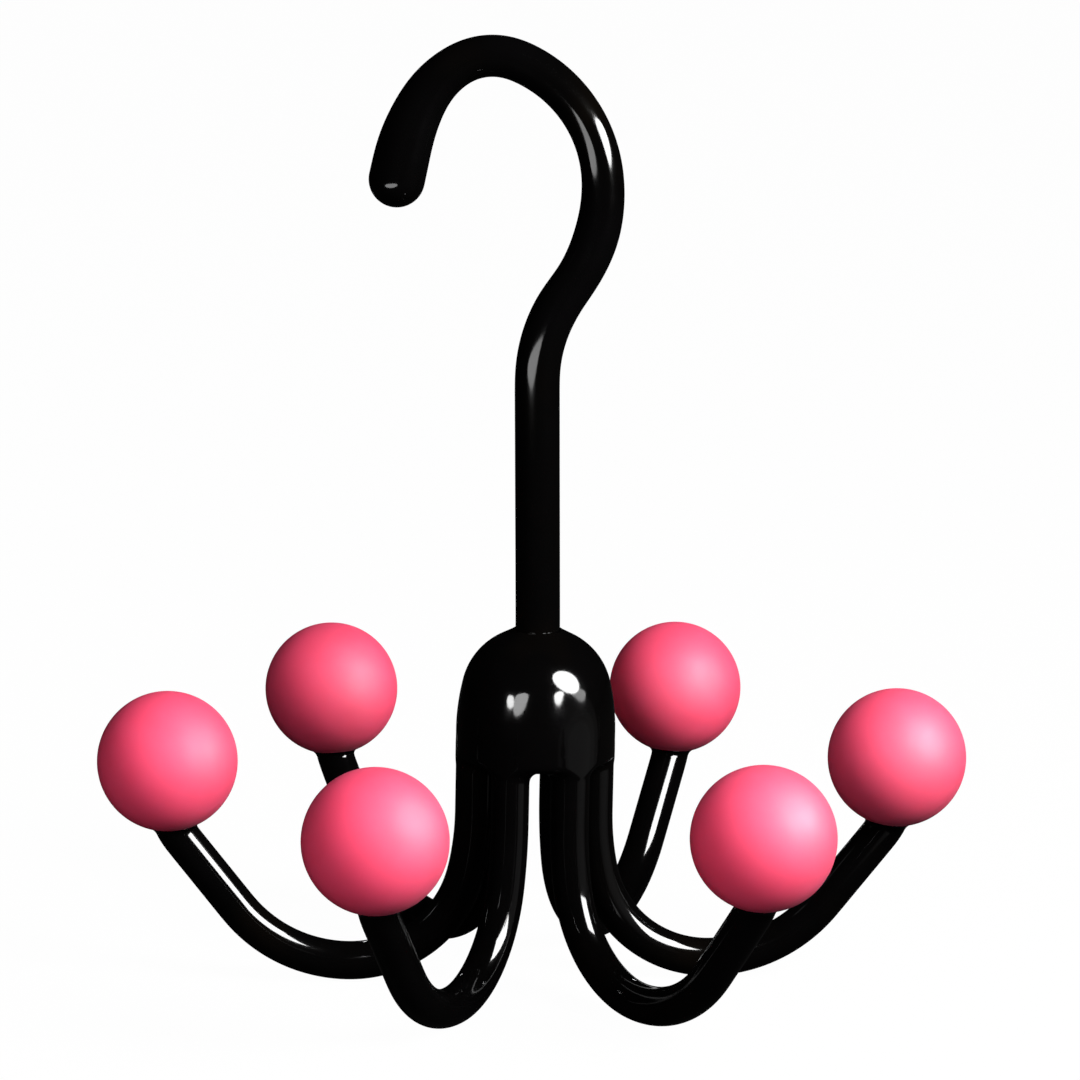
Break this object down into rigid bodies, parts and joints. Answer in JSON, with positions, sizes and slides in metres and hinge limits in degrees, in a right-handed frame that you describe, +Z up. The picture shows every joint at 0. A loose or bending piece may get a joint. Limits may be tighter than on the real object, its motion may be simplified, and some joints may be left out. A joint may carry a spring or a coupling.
{
  "type": "tie hanger",
  "caption": "Revolving tie hanger with a rail hook on a swivel hub and bent black arms that end in round stops.",
  "frame": {"origin": "on the swivel's axis, level with the lowest points of the arms, which the part stands on", "axes": "+Z up along the hook's shaft; the hook lies in the XZ plane with its tip towards -X; arms at every 60 degrees from +X"},
  "size_m": [0.1562, 0.1386, 0.17],
  "materials": {
    "black_coat": "glossy dipped coat",
    "pink_ball": "satin soft vinyl",
    "steel_wire": "drawn bright",
    "clip_steel": "oiled spring steel",
    "bush_brass": "turned",
    "washer_nylon": "natural"
  },
  "bodies": {
    "hanger_frame": {"hub_crown": "black_coat", "hub_plug": "black_coat", "swivel_bush": "bush_brass", "thrust_washer": "washer_nylon", "arm_wire_1": "steel_wire", "arm_wire_2": "steel_wire", "arm_wire_3": "steel_wire", "arm_wire_4": "steel_wire", "arm_wire_5": "steel_wire", "arm_wire_6": "steel_wire", "arm_sleeve_1": "black_coat", "arm_sleeve_2": "black_coat", "arm_sleeve_3": "black_coat", "arm_sleeve_4": "black_coat", "arm_sleeve_5": "black_coat", "arm_sleeve_6": "black_coat", "ball_1": "pink_ball", "ball_2": "pink_ball", "ball_3": "pink_ball", "ball_4": "pink_ball", "ball_5": "pink_ball", "ball_6": "pink_ball"},
    "hook": {"hook_wire": "steel_wire", "hook_sleeve": "black_coat", "retaining_clip": "clip_steel"}
  },
  "joints": [
    {"name": "hook_swivel", "type": "hinge", "parent": "hanger_frame", "child": "hook", "pos_m": [0, 0, 0.0555], "axis": [0, 0, 1], "continuous": true}
  ]
}
